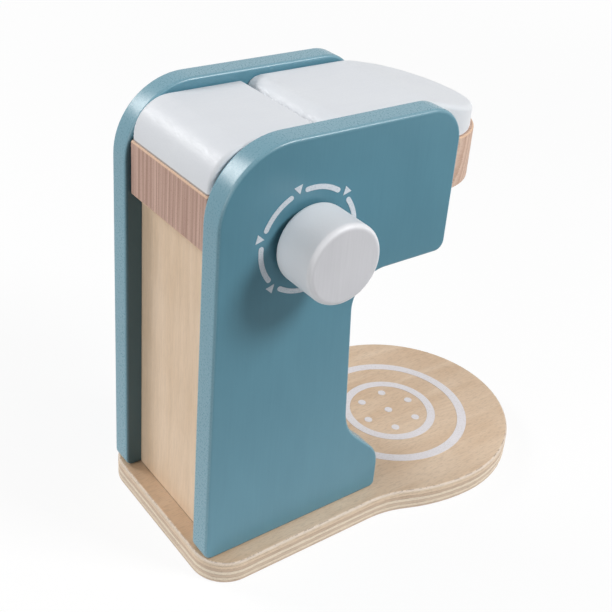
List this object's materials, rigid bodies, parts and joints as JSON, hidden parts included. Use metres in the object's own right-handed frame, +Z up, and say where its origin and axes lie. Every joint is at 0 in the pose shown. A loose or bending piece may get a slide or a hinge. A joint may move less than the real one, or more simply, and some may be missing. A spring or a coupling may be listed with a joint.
{
  "type": "toy coffee maker",
  "caption": "Wooden toy coffee maker with painted side panels on a plywood base, a hinged lid over a pod well, a turning side knob and a spout over a round cup tray.",
  "frame": {"origin": "middle of the base's flat underside: half way along its length and on the plane of symmetry of the base and the side panels", "axes": "+Z up, -Y towards the round tray and the lid's nose, -X towards the knob"},
  "size_m": [0.13, 0.2088, 0.209],
  "materials": {
    "teal_paint": "satin teal paint on wood",
    "white_paint": "satin white paint on wood",
    "birch_ply": "thin matt lacquer on birch plywood",
    "beech": "bare sanded beech",
    "white_print": "thin matt printed ink",
    "felt": "dense grey felt",
    "steel": "zinc plated steel"
  },
  "bodies": {
    "housing": {"base_board": "birch_ply", "knob_side_panel": "teal_paint", "far_side_panel": "teal_paint", "back_panel": "birch_ply", "front_panel": "birch_ply", "arm_rail": "beech", "rear_block": "white_paint", "lid_pin_knob_side": "steel", "lid_pin_far_side": "steel", "knob_washer": "felt", "spout_nozzle": "white_paint", "base_screws": "steel", "arm_dowels_knob_side": "beech", "arm_dowels_far_side": "beech", "rear_block_dowels": "beech", "tray_rings": "white_print", "tray_dots": "white_print", "dial_arcs": "white_print", "dial_pointers": "white_print"},
    "dial_knob": {"knob": "white_paint", "knob_shaft": "beech", "shaft_collar": "beech"},
    "lid": {"lid": "white_paint"}
  },
  "joints": [
    {"name": "knob_turn", "type": "hinge", "parent": "housing", "child": "dial_knob", "pos_m": [-0.0558, 0.0608, 0.1641], "axis": [-1, 0, 0], "continuous": true},
    {"name": "lid_hinge", "type": "hinge", "parent": "housing", "child": "lid", "pos_m": [0, 0.03555, 0.19645], "axis": [-1, 0, 0], "range_deg": [0, 100]}
  ]
}
